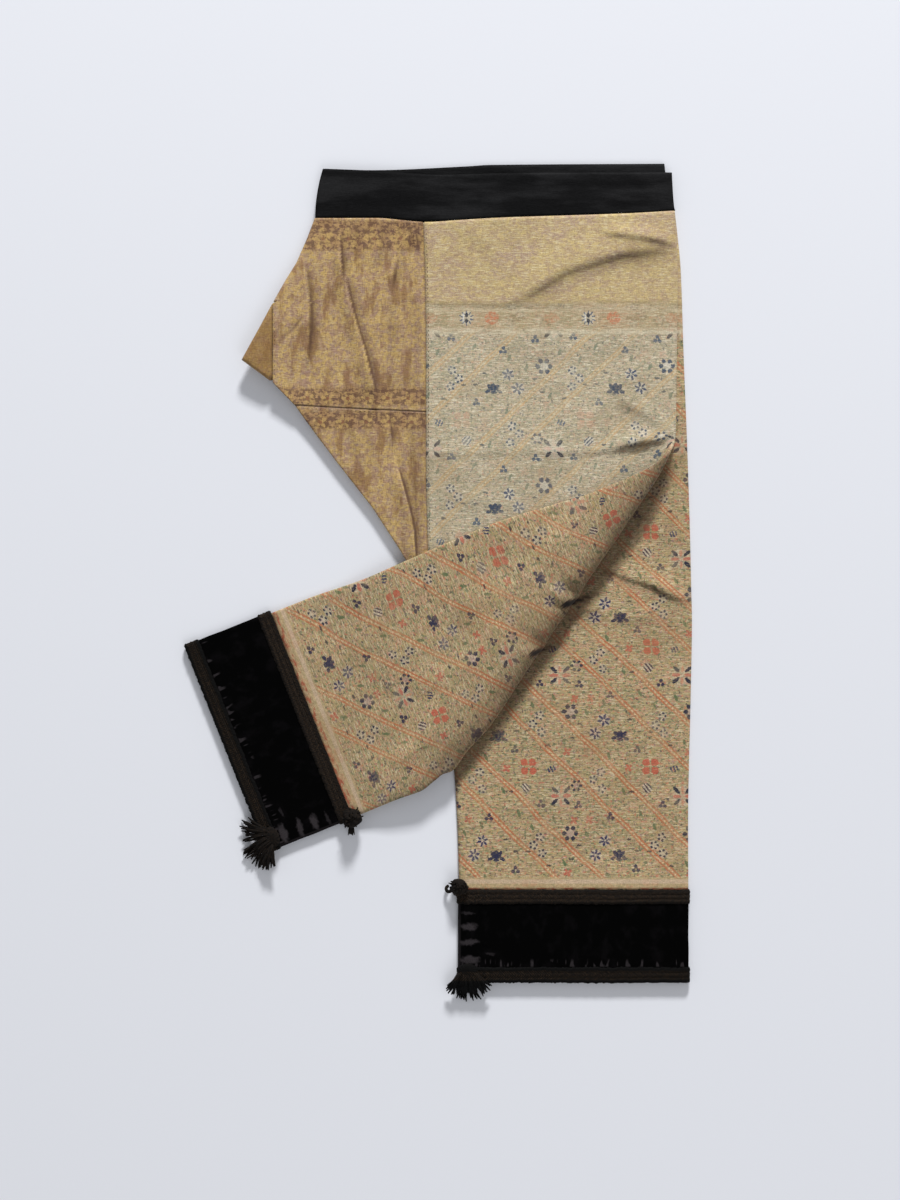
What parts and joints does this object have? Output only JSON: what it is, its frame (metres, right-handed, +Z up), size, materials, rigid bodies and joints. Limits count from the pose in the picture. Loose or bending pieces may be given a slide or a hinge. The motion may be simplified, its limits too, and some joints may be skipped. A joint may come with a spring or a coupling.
{
  "type": "folded silk trousers",
  "caption": "Wide traditional silk trousers with velvet cuffs, folded down the centre line and laid flat, one leg folded across.",
  "frame": {"origin": "centre of the underside of the bounding box, on the surface that the trousers lie on", "axes": "+Y from the cuffs to the waistband, +X towards the outer side of the legs, +Z up"},
  "size_m": [0.533, 0.8773, 0.0255],
  "materials": {
    "cotton": "matte plain cotton",
    "figured_silk": "figured silk with coloured stripes and small flowers, one face faded",
    "gold_silk": "mottled gold silk with woven borders",
    "velvet": "deep black pile",
    "braid": "dark braid with a chevron"
  },
  "bodies": {
    "root": {"waistband_upper": "cotton", "waistband_under": "cotton", "upper_leg": "figured_silk", "under_leg": "figured_silk", "front_gusset": "gold_silk", "crotch_patch": "gold_silk", "upper_leg_gusset": "gold_silk", "under_leg_gusset": "gold_silk", "back_gusset": "gold_silk", "upper_cuff": "velvet", "under_cuff": "velvet", "upper_top_braid": "braid", "under_top_braid": "braid", "upper_hem_braid": "braid", "under_hem_braid": "braid", "upper_knot": "braid", "under_knot": "braid", "upper_tassel": "braid", "under_tassel": "braid"}
  },
  "joints": []
}
